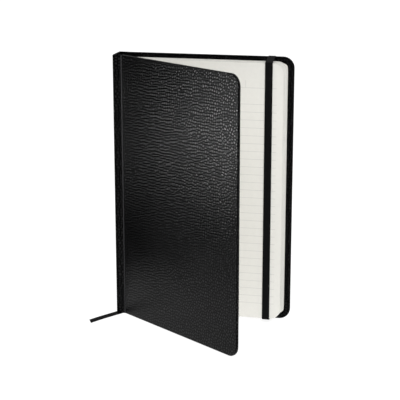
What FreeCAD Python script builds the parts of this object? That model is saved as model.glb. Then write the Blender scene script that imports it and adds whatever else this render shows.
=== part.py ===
"""A hardcover notebook that stands on its foot with the front cover part open.

The case is two boards and a spine card covered in leatherette. The block is eight sewn
signatures with mull, liner, head and tail bands and a ribbon marker. An elastic strap
is anchored in the back board and runs over the block in front of its fore edge.

Millimetres throughout. Each piece is drawn in the book's own coordinates: X runs from the
outside of the spine to the fore edge, Y from the inner face of the back cover outwards, so
the pages lie at negative Y, and Z up from the table. The front cover and its flyleaf are
drawn closed, about their hinge line. A placement then carries every piece to the frame of
the part, whose origin is the middle of the back cover's foot.
"""

import FreeCAD, Part
import Sketcher
import math
import os

Vector = FreeCAD.Vector
SIGNATURES = 8
RIBBON_AFTER = 4

SIZES = {
    # the case
    "cover_height": 217.4,
    "cover_width": 136.8,
    "joint_width": 7,
    "board": 1.8,
    "leatherette": 0.35,
    "turn_in": 14,
    "cover_corner": 9,
    "spine_card": 1,
    "spine_hollow": 0.3,
    "pastedown": 0.15,
    "pastedown_margin": 5.2,
    # the block
    "square": 3.7,
    "fore_square": 5,
    "page_corner": 8,
    "signature": 1.5,
    "flyleaf": 0.1,
    "flyleaf_gutter": 3,
    "liner": 0.15,
    "mull": 0.15,
    "mull_margin": 12,
    "thread": 0.3,
    "stitch_length": 22,
    "bead": 1.1,
    "band_tape": 8,
    # the ribbon
    "ribbon_width": 7,
    "ribbon": 0.2,
    "ribbon_head": 11.5,
    "ribbon_foot": 8,
    # the elastic
    "strap_width": 6,
    "strap": 0.6,
    "strap_edge": 13.1,
    "anchor_height": 12,
    "anchor_tab": 10,
    "anchor_play": 0.3,
    # room between pieces and the pose
    "layer_gap": 0.1,
    "overrun": 0.4,
    "overcut": 1,
    "hinge_gap": 0.3,
    "hinge_stand": 0.15,
    "foot_room": 0.4,
    "open_angle": 36.1,
    "leaf_follow": 0.97,
}

doc = FreeCAD.newDocument("notebook")
sheet = doc.addObject("Spreadsheet::Sheet", "Sizes")
for row, (alias, value) in enumerate(SIZES.items(), 1):
    sheet.set(f"A{row}", alias)
    sheet.set(f"B{row}", str(value))
    sheet.setAlias(f"B{row}", alias)
doc.recompute()


def plus(*terms):
    """The terms as one bracketed sum, each a size's alias, a number or a sum already made."""
    named = [f"Sizes.{t}" if t in SIZES else str(t) for t in terms]
    return "(" + " + ".join(named) + ")"


def times(factor, term):
    """A term taken a number of times."""
    return f"({factor} * {plus(term)})"


def minus(first, *others):
    """The first term less all the others."""
    return f"({plus(first)} - {plus(*others)})"


def number(expression):
    """What an expression comes to with the sheet's present sizes."""
    return float(sheet.evalExpression(expression.replace("Sizes.", "")))


# where the layers lie, from the back cover forwards
COVER = plus("board", times(2, "leatherette"))
BACK_LEAF = minus(0, "pastedown", "layer_gap", "flyleaf")
BLOCK_BACK = minus(BACK_LEAF, "layer_gap")
RIBBON_GAP = plus("ribbon", "layer_gap")
BLOCK_FRONT = minus(BLOCK_BACK, times(SIGNATURES, "signature"), RIBBON_GAP)
STRAP_BACK = minus(BLOCK_FRONT, "layer_gap")
STRAP_FRONT = minus(STRAP_BACK, "strap")
FRONT_LEAF = minus(STRAP_FRONT, "layer_gap", "flyleaf")
FRONT_INNER = minus(FRONT_LEAF, "layer_gap", "pastedown")
FRONT_OUTER = minus(FRONT_INNER, COVER)
HINGE_Y = minus(FRONT_OUTER, "hinge_stand")

# where the pieces lie from the spine to the fore edge, and from foot to head
FORE_EDGE = plus("joint_width", "cover_width")
PAGE_EDGE = minus(FORE_EDGE, "fore_square")
CARD_IN = plus("leatherette", "spine_card")
LINER_OUT = plus(CARD_IN, "leatherette", "spine_hollow")
MULL_OUT = plus(LINER_OUT, "liner")
THREAD_OUT = plus(MULL_OUT, "mull")
BLOCK_SPINE = plus(THREAD_OUT, "thread")
PAGE_HEAD = minus("cover_height", "square")
STRAP_LEFT = minus(PAGE_EDGE, "strap_edge", times(0.5, "strap_width"))
NOTCH = plus("strap", times(2, "layer_gap"))

SHIFT_X = minus(0, "joint_width", times(0.5, "cover_width"))
SHIFT_Y = times(-0.5, COVER)


def new_body(label):
    """An empty body with its name, placed in the frame of the part."""
    body = doc.addObject("PartDesign::Body", label)
    body.Label = label
    body.setExpression("Placement.Base.x", SHIFT_X)
    body.setExpression("Placement.Base.y", SHIFT_Y)
    return body


def swing(body, share="1"):
    """Places a body that is drawn about the hinge line, turned open by a share of the angle."""
    body.setExpression("Placement.Base.x", plus(SHIFT_X, "joint_width"))
    body.setExpression("Placement.Base.y", plus(SHIFT_Y, HINGE_Y))
    body.Placement = FreeCAD.Placement(body.Placement.Base, Vector(0, 0, 1), -1)
    body.setExpression("Placement.Rotation.Angle", f"-Sizes.open_angle * {share}")


def new_sketch(body, plane, start, length):
    """A sketch on one of the body's own planes, at the face that a feature grows from."""
    sketch = body.newObject("Sketcher::SketchObject", body.Label + "_outline")
    side = [o for o in body.Origin.OriginFeatures if o.Role == plane][0]
    sketch.AttachmentSupport = [(side, "")]
    sketch.MapMode = "FlatFace"
    # the XZ plane looks along -Y, so there a feature grows down from the higher Y
    along = minus(0, start, length) if plane == "XZ_Plane" else plus(start)
    sketch.setExpression("AttachmentOffset.Base.z", along)
    return sketch


def hold(sketch, kind, geometry, point, expression):
    """Fixes a point's distance from the sketch's origin, along X or Y, to an expression."""
    row = sketch.addConstraint(
        Sketcher.Constraint(kind, -1, 1, geometry, point, number(expression))
    )
    sketch.setExpression(f"Constraints[{row}]", expression)


def polygon(sketch, corners):
    """A closed outline of straight sides through corners, each a pair of expressions."""
    places = [Vector(number(a), number(b), 0) for a, b in corners]
    count = len(places)
    for i in range(count):
        sketch.addGeometry(Part.LineSegment(places[i], places[(i + 1) % count]))
    for i in range(count):
        sketch.addConstraint(Sketcher.Constraint("Coincident", i, 2, (i + 1) % count, 1))
    for i, (a, b) in enumerate(corners):
        hold(sketch, "DistanceX", i, 1, a)
        hold(sketch, "DistanceY", i, 1, b)


def rounded(sketch, left, right, low, high, radius):
    """A rectangle whose two corners on the right are round."""
    x0, x1, y0, y1, r = (number(e) for e in (left, right, low, high, radius))
    quarter = math.pi / 2
    normal = Vector(0, 0, 1)
    foot, fore, head, back, lower, upper = range(6)
    sketch.addGeometry(Part.LineSegment(Vector(x0, y0, 0), Vector(x1 - r, y0, 0)))
    sketch.addGeometry(Part.LineSegment(Vector(x1, y0 + r, 0), Vector(x1, y1 - r, 0)))
    sketch.addGeometry(Part.LineSegment(Vector(x1 - r, y1, 0), Vector(x0, y1, 0)))
    sketch.addGeometry(Part.LineSegment(Vector(x0, y1, 0), Vector(x0, y0, 0)))
    for middle, start in ((Vector(x1 - r, y0 + r, 0), -quarter), (Vector(x1 - r, y1 - r, 0), 0)):
        circle = Part.Circle(middle, normal, r)
        sketch.addGeometry(Part.ArcOfCircle(circle, start, start + quarter))
    joins = (
        ("Coincident", head, 2, back, 1),
        ("Coincident", back, 2, foot, 1),
        ("Tangent", foot, 2, lower, 1),
        ("Tangent", lower, 2, fore, 1),
        ("Tangent", fore, 2, upper, 1),
        ("Tangent", upper, 2, head, 1),
        ("Horizontal", foot),
        ("Horizontal", head),
        ("Vertical", back),
        ("Vertical", fore),
        ("Equal", lower, upper),
    )
    for join in joins:
        sketch.addConstraint(Sketcher.Constraint(*join))
    hold(sketch, "DistanceX", back, 1, left)
    hold(sketch, "DistanceX", fore, 1, right)
    hold(sketch, "DistanceY", foot, 1, low)
    hold(sketch, "DistanceY", head, 1, high)
    row = sketch.addConstraint(Sketcher.Constraint("Radius", lower, r))
    sketch.setExpression(f"Constraints[{row}]", radius)


def corners_of(left, right, low, high):
    """The corners of a plain rectangle, for polygon."""
    return [(left, low), (right, low), (right, high), (left, high)]


def feature(body, cut, sketch, length):
    """Pads the sketch, or cuts a pocket, for a length towards the plane's own front."""
    doc.recompute()
    before = body.Shape.Volume if cut else 0
    kind = "PartDesign::Pocket" if cut else "PartDesign::Pad"
    made = body.newObject(kind, body.Label + ("_cut" if cut else "_pad"))
    made.Profile = sketch
    made.setExpression("Length", length)
    made.Reversed = cut
    sketch.Visibility = False
    doc.recompute()
    if cut and not body.Shape.Volume < before:
        raise RuntimeError(f"{made.Name} cuts nothing")
    return made


def plate(body, outline, radius, low_y, thickness, cut=False):
    """A pad or pocket of a cover's shape, lying in the XZ plane between two depths."""
    sketch = new_sketch(body, "XZ_Plane", low_y, thickness)
    if radius:
        rounded(sketch, *outline, radius)
    else:
        polygon(sketch, corners_of(*outline))
    return feature(body, cut, sketch, thickness)


def strip(body, corners, left, width, cut=False):
    """A pad or pocket of a profile drawn in the YZ plane, carried along X."""
    sketch = new_sketch(body, "YZ_Plane", left, width)
    polygon(sketch, corners)
    return feature(body, cut, sketch, width)


def post(body, corners, low, height, cut=False):
    """A pad or pocket of a profile drawn in the XY plane, carried up Z."""
    sketch = new_sketch(body, "XY_Plane", low, height)
    polygon(sketch, corners)
    return feature(body, cut, sketch, height)


def inset(outline, left, other):
    """An outline drawn in by one amount at the left and another at its three other sides."""
    x0, x1, z0, z1 = outline
    return (plus(x0, left), minus(x1, other), plus(z0, other), minus(z1, other))


def cover(name, outline, inner_y, outward):
    """A covered board: the skin, the board and the paper pasted inside.

    outline is the cover's left, right, foot and head, inner_y the depth of the face that
    the turn-ins make, and outward is 1 where the outside lies at higher Y, else -1.
    """
    back = outward > 0
    board_outline = inset(outline, "leatherette", "leatherette")
    window = inset(outline, "turn_in", "turn_in")
    board_round = minus("cover_corner", "leatherette")
    low = inner_y if back else minus(inner_y, COVER)
    board_low = plus(low, "leatherette")
    window_low = inner_y if back else minus(inner_y, "leatherette")
    paper_low = minus(inner_y, "pastedown") if back else inner_y

    skin = new_body(name + "_cover_leatherette")
    plate(skin, outline, plus("cover_corner"), low, COVER)
    plate(skin, board_outline, board_round, board_low, plus("board"), cut=True)
    plate(skin, window, None, window_low, plus("leatherette"), cut=True)

    board = new_body(name + "_board")
    plate(board, board_outline, board_round, board_low, plus("board"))

    paper = new_body(name + "_pastedown")
    margin = inset(outline, 0, "pastedown_margin")
    paper_round = minus("cover_corner", "pastedown_margin")
    plate(paper, margin, paper_round, paper_low, plus("pastedown"))
    plate(paper, window, None, window_low, plus("leatherette"))
    return skin, board, paper


def anchor_outlines(head):
    """The elastic's leg and tab profiles, from the foot upwards or mirrored at the head."""

    def up(distance):
        return minus("cover_height", distance) if head else plus(distance)

    floor = times(-1, "layer_gap") if head else plus("layer_gap")
    page = minus("square", "overrun")
    over = floor if head else plus(floor, "strap")
    under = minus(floor, "strap") if head else floor
    back = plus(COVER, "layer_gap")
    below = minus("anchor_height", times(0.5, "strap"))
    above = plus("anchor_height", times(0.5, "strap"))
    leg = [
        (STRAP_FRONT, up(page)),
        (times(-1, "strap"), up(under)),
        (plus(back, "strap"), up(under)),
        (plus(back, "strap"), up(above)),
        (COVER, up(above)),
        (COVER, up(below)),
        (back, up(below)),
        (back, up(over)),
        (times(-1, "layer_gap"), up(over)),
        (STRAP_BACK, up(page)),
    ]
    board_inner = plus("leatherette")
    deep = plus(board_inner, "strap")
    tab = [
        (board_inner, up(below)),
        (COVER, up(below)),
        (COVER, up(above)),
        (deep, up(above)),
        (deep, up(plus(above, "anchor_tab"))),
        (board_inner, up(plus(above, "anchor_tab"))),
    ]
    slot = [
        (board_inner, up(minus(below, "anchor_play"))),
        (plus(COVER, "overcut"), up(minus(below, "anchor_play"))),
        (plus(COVER, "overcut"), up(plus(above, "anchor_play"))),
        (deep, up(plus(above, "anchor_play"))),
        (deep, up(plus(above, "anchor_tab", "anchor_play"))),
        (board_inner, up(plus(above, "anchor_tab", "anchor_play"))),
    ]
    return leg, tab, slot


# the covers: the back one stands on the table, the front one is drawn about its hinge
back_outline = (plus("joint_width"), FORE_EDGE, plus(0), plus("cover_height"))
back_skin, back_board, back_paper = cover("back", back_outline, plus(0), 1)
front_outline = (plus("hinge_gap"), plus("cover_width"), plus("foot_room"), plus("cover_height"))
front_inner = plus("hinge_stand", COVER)
for piece in cover("front", front_outline, front_inner, -1):
    swing(piece)

# the elastic: anchors in the back board, legs round head and foot, the strap in front
slot_left = minus(STRAP_LEFT, times(0.5, "anchor_play"))
slot_width = plus("strap_width", "anchor_play")
for end in ("foot", "head"):
    leg_outline, tab_outline, slot_outline = anchor_outlines(end == "head")
    strip(new_body(f"elastic_{end}_leg"), leg_outline, STRAP_LEFT, plus("strap_width"))
    strip(new_body(f"elastic_{end}_tab"), tab_outline, STRAP_LEFT, plus("strap_width"))
    for piece in (back_board, back_skin):
        strip(piece, slot_outline, slot_left, slot_width, cut=True)
outside = times(-1, "overcut")
notch = corners_of(outside, plus(COVER, "overcut"), outside, NOTCH)
for piece in (back_board, back_skin):
    strip(piece, notch, slot_left, slot_width, cut=True)
strap_foot = minus("square", "overrun")
strap_length = minus("cover_height", times(2, strap_foot))
strap = new_body("elastic_strap")
strap_profile = corners_of(STRAP_FRONT, STRAP_BACK, strap_foot, plus(strap_foot, strap_length))
strip(strap, strap_profile, STRAP_LEFT, plus("strap_width"))

# the spine: a U of leatherette that reaches the hinge at the front and the back cover
flange = times(2, "leatherette")
spine_in = plus(CARD_IN, "leatherette")
spine_height = minus("cover_height", "foot_room")


def channel(left, right, front, back, front_lip, back_lip, wall):
    """A U outline open to the fore edge: outer sides, then the thickness of each wall."""
    return [
        (left, front),
        (right, front),
        (right, plus(front, front_lip)),
        (plus(left, wall), plus(front, front_lip)),
        (plus(left, wall), minus(back, back_lip)),
        (right, minus(back, back_lip)),
        (right, back),
        (left, back),
    ]


spine_skin = new_body("spine_leatherette")
spine_outline = channel(
    plus(0), plus("joint_width"), FRONT_OUTER, COVER, flange, flange, spine_in
)
post(spine_skin, spine_outline, plus("foot_room"), spine_height)
card_front = plus(FRONT_OUTER, flange)
card_back = minus(COVER, flange)
card_outline = corners_of(plus("leatherette"), CARD_IN, card_front, card_back)
card_low = plus("foot_room", "leatherette")
card_height = minus(spine_height, flange)
post(spine_skin, card_outline, card_low, card_height, cut=True)
hollow = channel(
    CARD_IN,
    plus("joint_width", "overcut"),
    plus(FRONT_OUTER, "leatherette"),
    minus(COVER, "leatherette"),
    plus("leatherette"),
    plus("leatherette"),
    plus("leatherette"),
)
hollow_low = plus("foot_room", "turn_in")
post(spine_skin, hollow, hollow_low, minus(spine_height, times(2, "turn_in")), cut=True)
post(new_body("spine_card"), card_outline, card_low, card_height)

# mull and liner: gauze round the block's shoulders into both joints, paper over its back
mull_low = plus("square", "mull_margin")
mull_height = minus("cover_height", times(2, mull_low))
mull_front = plus(FRONT_OUTER, flange, "layer_gap")
mull_back = minus(COVER, flange, "layer_gap")
mull_outline = channel(
    MULL_OUT, minus("joint_width", "layer_gap"), mull_front, mull_back, *[plus("mull")] * 3
)
post(new_body("mull"), mull_outline, mull_low, mull_height)
liner_outline = corners_of(LINER_OUT, MULL_OUT, BLOCK_FRONT, BLOCK_BACK)
post(new_body("spine_liner"), liner_outline, plus("square"), minus(PAGE_HEAD, "square"))

# the block: signatures from the back, with the ribbon in one gap, and the two flyleaves
page_outline = (BLOCK_SPINE, PAGE_EDGE, plus("square"), PAGE_HEAD)
page_round = plus("page_corner")
for i in range(1, SIGNATURES + 1):
    gap = RIBBON_GAP if i > RIBBON_AFTER else plus(0)
    front = minus(BLOCK_BACK, times(i, "signature"), gap)
    signature = new_body(f"signature_{i}")
    plate(signature, page_outline, page_round, front, plus("signature"))
back_leaf_outline = (minus("joint_width", "layer_gap"), *page_outline[1:])
plate(new_body("back_flyleaf"), back_leaf_outline, page_round, BACK_LEAF, plus("flyleaf"))
leaf_outline = (
    plus("flyleaf_gutter"),
    minus(PAGE_EDGE, "joint_width"),
    plus("square"),
    PAGE_HEAD,
)
front_leaf = new_body("front_flyleaf")
leaf_low = plus("hinge_stand", COVER, "pastedown", "layer_gap")
plate(front_leaf, leaf_outline, page_round, leaf_low, plus("flyleaf"))
swing(front_leaf, "Sizes.leaf_follow")

# head and tail bands: a bead along the spine's edge and a tape down the block's back
for name, head in (("headband", True), ("tailband", False)):
    edge = PAGE_HEAD if head else plus("square")
    way = 1 if head else -1
    bead = doc.addObject("Part::Cylinder", name + "_bead")
    bead.setExpression("Radius", times(0.5, "bead"))
    bead.setExpression("Height", minus(BLOCK_BACK, BLOCK_FRONT))
    bead.Placement = FreeCAD.Placement(Vector(), Vector(1, 0, 0), 90)
    bead.setExpression("Placement.Base.x", plus(SHIFT_X, BLOCK_SPINE, times(0.5, "bead")))
    bead.setExpression("Placement.Base.y", plus(SHIFT_Y, BLOCK_BACK))
    bead.setExpression("Placement.Base.z", plus(edge, times(0.5 * way, "bead")))
    tape = doc.addObject("Part::Box", name + "_tape")
    tape.setExpression("Length", plus("thread"))
    tape.setExpression("Width", minus(BLOCK_BACK, BLOCK_FRONT))
    tape.setExpression("Height", plus("band_tape", times(0.5, "bead")))
    tape.setExpression("Placement.Base.x", plus(SHIFT_X, THREAD_OUT))
    tape.setExpression("Placement.Base.y", plus(SHIFT_Y, BLOCK_FRONT))
    low_end = minus(edge, "band_tape") if head else minus(edge, times(0.5, "bead"))
    tape.setExpression("Placement.Base.z", low_end)
    neck = doc.addObject("Part::Box", name + "_neck")
    neck.setExpression("Length", plus("thread", times(0.5, "bead")))
    neck.setExpression("Width", minus(BLOCK_BACK, BLOCK_FRONT))
    neck.setExpression("Height", times(0.5, "bead"))
    neck.setExpression("Placement.Base.x", plus(SHIFT_X, THREAD_OUT))
    neck.setExpression("Placement.Base.y", plus(SHIFT_Y, BLOCK_FRONT))
    neck.setExpression("Placement.Base.z", edge if head else low_end)
    band = doc.addObject("Part::MultiFuse", name)
    band.Label = name
    band.Shapes = [bead, tape, neck]

# the sewing thread: one run of stitches down the back of each signature
stitches = []
STITCH_ROWS = 4
for i in range(SIGNATURES):
    gap = RIBBON_GAP if i >= RIBBON_AFTER else plus(0)
    for row in range(STITCH_ROWS):
        stitch = doc.addObject("Part::Cylinder", "stitch")
        stitch.setExpression("Radius", times(0.5, "thread"))
        stitch.setExpression("Height", plus("stitch_length"))
        stitch.setExpression(
            "Placement.Base.x", plus(SHIFT_X, THREAD_OUT, times(0.5, "thread"))
        )
        stitch.setExpression(
            "Placement.Base.y",
            minus(plus(SHIFT_Y, BLOCK_BACK), times(i + 0.5, "signature"), gap),
        )
        share = (row + 0.5) / STITCH_ROWS
        stitch.setExpression(
            "Placement.Base.z", minus(times(share, "cover_height"), times(0.5, "stitch_length"))
        )
        stitches.append(stitch)
thread = doc.addObject("Part::Compound", "sewing_thread")
thread.Label = "sewing_thread"
thread.Links = stitches

# the ribbon marker: over the head from the spine, down between two signatures
RIBBON_BACK = minus(BLOCK_BACK, times(RIBBON_AFTER, "signature"), times(0.5, "layer_gap"))
RIBBON_FRONT = minus(RIBBON_BACK, "ribbon")
half_ribbon = times(0.5, "ribbon_width")
ribbon_end = minus("square", "overrun")
ribbon_top = plus(PAGE_HEAD, "ribbon")
marker = new_body("marker_ribbon")
slant = new_sketch(marker, "XZ_Plane", RIBBON_FRONT, plus("ribbon"))
slant_corners = [
    (minus("ribbon_foot", half_ribbon), ribbon_end),
    (plus("ribbon_foot", half_ribbon), ribbon_end),
    (plus("ribbon_head", half_ribbon), ribbon_top),
    (minus("ribbon_head", half_ribbon), ribbon_top),
]
polygon(slant, slant_corners)
feature(marker, False, slant, plus("ribbon"))
ribbon_middle = times(0.5, plus(RIBBON_BACK, RIBBON_FRONT))
head_strip = corners_of(
    plus(BLOCK_SPINE, "bead", "layer_gap"),
    plus("ribbon_head", half_ribbon),
    minus(ribbon_middle, half_ribbon),
    plus(ribbon_middle, half_ribbon),
)
post(marker, head_strip, PAGE_HEAD, plus("ribbon"))

# the ribbon's loose tail: out at the foot between the pages, then flat on the table.
# Its points were chosen by hand, from the place where it leaves the block.
TAIL_ROUTE = [
    (8.0, -6.6, 2.8),
    (5.2, -9.9, 0.24),
    (1.0, -15.7, 0.11),
    (-5.0, -24.6, 0.11),
    (-11.4, -33.6, 0.11),
    (-16.8, -42.8, 0.11),
]


def softened(points):
    """Straight runs joined by arcs, each as large as its two runs allow."""
    edges = []
    start = points[0]
    for before, corner, after in zip(points, points[1:], points[2:]):
        into = corner - before
        out = after - corner
        turn = into.getAngle(out)
        reach = 0.45 * min(into.Length, out.Length)
        radius = reach / math.tan(turn / 2)
        print(f"ribbon arc radius {radius:.1f} mm, turn {math.degrees(turn):.1f} degrees")
        into.normalize()
        out.normalize()
        first = corner - into * reach
        last = corner + out * reach
        bulge = (out - into).normalize()
        middle = corner + bulge * (radius / math.cos(turn / 2) - radius)
        edges.append(Part.LineSegment(start, first).toShape())
        edges.append(Part.Arc(first, middle, last).toShape())
        start = last
    edges.append(Part.LineSegment(start, points[-1]).toShape())
    return Part.Wire(edges)


def flat_tail():
    """The ribbon's flat section carried along its route, its width kept level."""
    width = number(plus("ribbon_width"))
    thick = number(plus("ribbon"))
    route = softened([Vector(*p) for p in TAIL_ROUTE])
    begin = Vector(*TAIL_ROUTE[0])
    along = (Vector(*TAIL_ROUTE[1]) - begin).normalize()
    across = along.cross(Vector(0, 0, 1)).normalize()
    upward = across.cross(along).normalize()
    signs = ((-1, -1), (1, -1), (1, 1), (-1, 1), (-1, -1))
    places = [begin + across * (a * width / 2) + upward * (b * thick / 2) for a, b in signs]
    sweep = Part.BRepOffsetAPI.MakePipeShell(route)
    sweep.setBiNormalMode(Vector(0, 0, 1))
    sweep.add(Part.makePolygon(places))
    sweep.build()
    sweep.makeSolid()
    solid = sweep.shape()
    expected = route.Length * width * thick
    print(f"ribbon tail {route.Length:.1f} mm, volume {solid.Volume:.1f}, section {expected:.1f}")
    return solid


tail = doc.addObject("Part::Feature", "marker_ribbon_tail")
tail.Label = "marker_ribbon_tail"
tail.Shape = flat_tail()
tail.Placement = FreeCAD.Placement(
    Vector(number(SHIFT_X), number(SHIFT_Y), 0), FreeCAD.Rotation()
)

doc.recompute()
for thing in doc.Objects:
    if "Invalid" in thing.State or "Error" in thing.State:
        raise RuntimeError(f"{thing.Label} failed: {thing.State}")
kept = [
    o
    for o in doc.Objects
    if o.TypeId in ("PartDesign::Body", "Part::MultiFuse", "Part::Compound", "Part::Feature")
]
os.makedirs("parts", exist_ok=True)
for piece in kept:
    shape = piece.Shape
    if shape.isNull() or not shape.isValid():
        raise RuntimeError(f"{piece.Label} has no sound shape")
for piece in kept:
    piece.Shape.exportStep(f"parts/{piece.Label}.step")
    print(f"{piece.Label}: {piece.Shape.Volume:.1f} mm3, {len(piece.Shape.Solids)} solid(s)")
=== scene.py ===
"""A hardcover notebook that stands on its foot with the front cover part open.

Lengths are in millimetres in the frame of the part and become metres when a mesh is made,
but the camera, the lights and the ribbon's route are given in metres. X runs from the spine
to the fore edge, Y from the front to the back and Z up. The front cover's pieces are worked
out closed, from their hinge line, and turned open.
"""

import math

import bmesh
import bpy
import numpy as np
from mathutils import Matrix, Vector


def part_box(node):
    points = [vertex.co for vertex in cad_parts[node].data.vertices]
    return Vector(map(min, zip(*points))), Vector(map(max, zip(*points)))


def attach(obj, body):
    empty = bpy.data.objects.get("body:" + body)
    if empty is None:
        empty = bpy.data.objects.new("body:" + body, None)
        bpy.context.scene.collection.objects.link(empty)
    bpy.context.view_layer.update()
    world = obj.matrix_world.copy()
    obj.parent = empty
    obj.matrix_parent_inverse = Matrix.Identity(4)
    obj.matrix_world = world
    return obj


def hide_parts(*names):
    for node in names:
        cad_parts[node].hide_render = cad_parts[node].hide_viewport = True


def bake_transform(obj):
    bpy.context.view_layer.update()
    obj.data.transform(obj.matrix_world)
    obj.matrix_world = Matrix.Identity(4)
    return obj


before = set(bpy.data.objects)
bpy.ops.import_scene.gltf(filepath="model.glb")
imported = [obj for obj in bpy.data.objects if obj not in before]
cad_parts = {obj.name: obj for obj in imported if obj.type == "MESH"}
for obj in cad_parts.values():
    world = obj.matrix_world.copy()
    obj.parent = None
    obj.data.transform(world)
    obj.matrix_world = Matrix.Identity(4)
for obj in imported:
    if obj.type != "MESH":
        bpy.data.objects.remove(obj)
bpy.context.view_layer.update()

MM = 0.001


# ---------------------------------------------------------------- sizes read from the frame


def millimetres(node):
    """The low and high corner of a CAD node at rest, as two arrays in millimetres."""
    low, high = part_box(node)
    return np.array(low) / MM, np.array(high) / MM


BACK_LOW, BACK_HIGH = millimetres("back_cover_leatherette")
SPINE_LOW, SPINE_HIGH = millimetres("spine_leatherette")
STRAP_LOW, STRAP_HIGH = millimetres("elastic_strap")
COVER_THICK = BACK_HIGH[1] - BACK_LOW[1]
COVER_WIDE = BACK_HIGH[0] - BACK_LOW[0]
COVER_TALL = BACK_HIGH[2]
# how far the hinge line stands out in front of the spine and of the closed cover's face
HINGE_STAND = 0.15
HINGE = np.array([SPINE_HIGH[0], SPINE_LOW[1] - HINGE_STAND])
OPEN = math.radians(36.1)
# the flyleaf lags the cover a little, by the ratio of its coupled joint
LEAF_OPEN = 0.97 * OPEN
CORNER_ROUND = 9.0
TURN_IN = 14.0


def opened(points, angle=OPEN):
    """Closed front cover points, x from the hinge and y inwards, turned open about it."""
    x, y, z = np.moveaxis(np.asarray(points, float), -1, 0)
    cosine = math.cos(angle)
    sine = math.sin(angle)
    turned_x = HINGE[0] + x * cosine + y * sine
    turned_y = HINGE[1] - x * sine + y * cosine
    return np.stack([turned_x, turned_y, z], axis=-1)


# ---------------------------------------------------------------- the camera

CAMERA_PLACE = (0.2067, -0.9683, 0.3555)
CAMERA_DOWN = math.radians(14.6)
CAMERA_TURN = math.radians(12.49)

lens = bpy.data.cameras.new("camera")
lens.lens = 112.34
lens.sensor_width = 36
lens.clip_end = 50
camera = bpy.data.objects.new("camera", lens)
camera.location = CAMERA_PLACE
camera.rotation_euler = (math.pi / 2 - CAMERA_DOWN, 0, CAMERA_TURN)
bpy.context.collection.objects.link(camera)
bpy.context.scene.camera = camera


# ---------------------------------------------------------------- making meshes


def lattice(rows, columns, wrapped=False):
    """The quads of a rows by columns grid, joined across its last column where wrapped."""
    index = np.arange(rows * columns).reshape(rows, columns)
    if wrapped:
        index = np.concatenate([index, index[:, :1]], axis=1)
    corners = (index[:-1, :-1], index[:-1, 1:], index[1:, 1:], index[1:, :-1])
    return np.stack(corners, axis=-1).reshape(-1, 4)


def slab(middle, normal, half):
    """A closed thin sheet: a grid of points moved by half a thickness both ways along a
    normal, with the two skins joined by a row of quads along the rim."""
    rows, columns = middle.shape[:2]
    offset = normal * half
    points = np.concatenate([(middle + offset).reshape(-1, 3), (middle - offset).reshape(-1, 3)])
    skin = lattice(rows, columns)
    index = np.arange(rows * columns).reshape(rows, columns)
    rim = np.concatenate(
        [index[0, :-1], index[:-1, -1], index[-1, :0:-1], index[:0:-1, 0]]
    )
    after = np.roll(rim, -1)
    count = rows * columns
    sides = np.stack([after, rim, rim + count, after + count], axis=-1)
    return points, [*skin.tolist(), *(skin[:, ::-1] + count).tolist(), *sides.tolist()]


def loft(rings):
    """Closed rings joined in order, with one flat face over the first and the last."""
    count, around = rings.shape[:2]
    first = np.arange(around)
    faces = lattice(count, around, wrapped=True).tolist()
    faces.append(first[::-1].tolist())
    faces.append((first + (count - 1) * around).tolist())
    return rings.reshape(-1, 3), faces


def piece(name, parts, material, body=None, replaces=(), smooth=True, uv=None):
    """One object from several (points, faces) parts in millimetres, at the origin."""
    points = np.concatenate([np.asarray(p, float) for p, _ in parts]) * MM
    faces = []
    start = 0
    for own, corners in parts:
        faces += [[start + c for c in face] for face in corners]
        start += len(own)
    mesh = bpy.data.meshes.new(name)
    mesh.from_pydata(points, [], faces)
    shell = bmesh.new()
    shell.from_mesh(mesh)
    bmesh.ops.recalc_face_normals(shell, faces=shell.faces)
    shell.to_mesh(mesh)
    shell.free()
    mesh.polygons.foreach_set("use_smooth", np.full(len(mesh.polygons), smooth))
    if uv is not None:
        corner = np.zeros(len(mesh.loops), np.int32)
        mesh.loops.foreach_get("vertex_index", corner)
        layer = mesh.uv_layers.new(name="along")
        layer.data.foreach_set("uv", uv[corner].astype(np.float32).ravel())
    mesh.update()
    made = bpy.data.objects.new(name, mesh)
    bpy.context.collection.objects.link(made)
    made.data.materials.append(material)
    if body:
        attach(made, body)
    if replaces:
        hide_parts(*replaces)
    return made


def smoothstep(t):
    """0 to 1 with a level start and end."""
    t = np.clip(t, 0, 1)
    return t * t * (3 - 2 * t)


def rounding(distance, radius, least=0.06):
    """The share of a sheet's half thickness at a distance from its edge: a quarter round."""
    share = np.clip(distance / radius, 0, 1)
    return np.maximum(np.sqrt(1 - (1 - share) ** 2), least)


def outline(box, left_round, right_round, inset, side_steps=40, arc_steps=9):
    """A rectangle in x and z with round corners, drawn in by an inset; each corner is a
    quarter circle and each side is cut into equal steps. Returns x, z and arc share."""
    x0, x1, z0, z1 = box
    x0 = x0 + inset
    x1 = x1 - inset
    z0 = z0 + inset
    z1 = z1 - inset
    left = max(left_round - inset, 0.25)
    right = max(right_round - inset, 0.25)
    turn = np.linspace(0, math.pi / 2, arc_steps)
    corners = (
        (x1 - right, z0 + right, right, -math.pi / 2),
        (x1 - right, z1 - right, right, 0),
        (x0 + left, z1 - left, left, math.pi / 2),
        (x0 + left, z0 + left, left, math.pi),
    )
    arcs = []
    for cx, cz, radius, start in corners:
        arc = np.stack(
            [cx + radius * np.cos(start + turn), cz + radius * np.sin(start + turn)], axis=-1
        )
        arcs.append(arc)
    share = np.linspace(0, 1, side_steps, endpoint=False)[1:, None]
    runs = []
    fold = []
    for arc, following in zip(arcs, arcs[1:] + arcs[:1]):
        runs += [arc, arc[-1] * (1 - share) + following[0] * share]
        fold += [np.sin(np.linspace(0, math.pi, arc_steps)), np.zeros(side_steps - 1)]
    return np.concatenate(runs), np.concatenate(fold)


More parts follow.
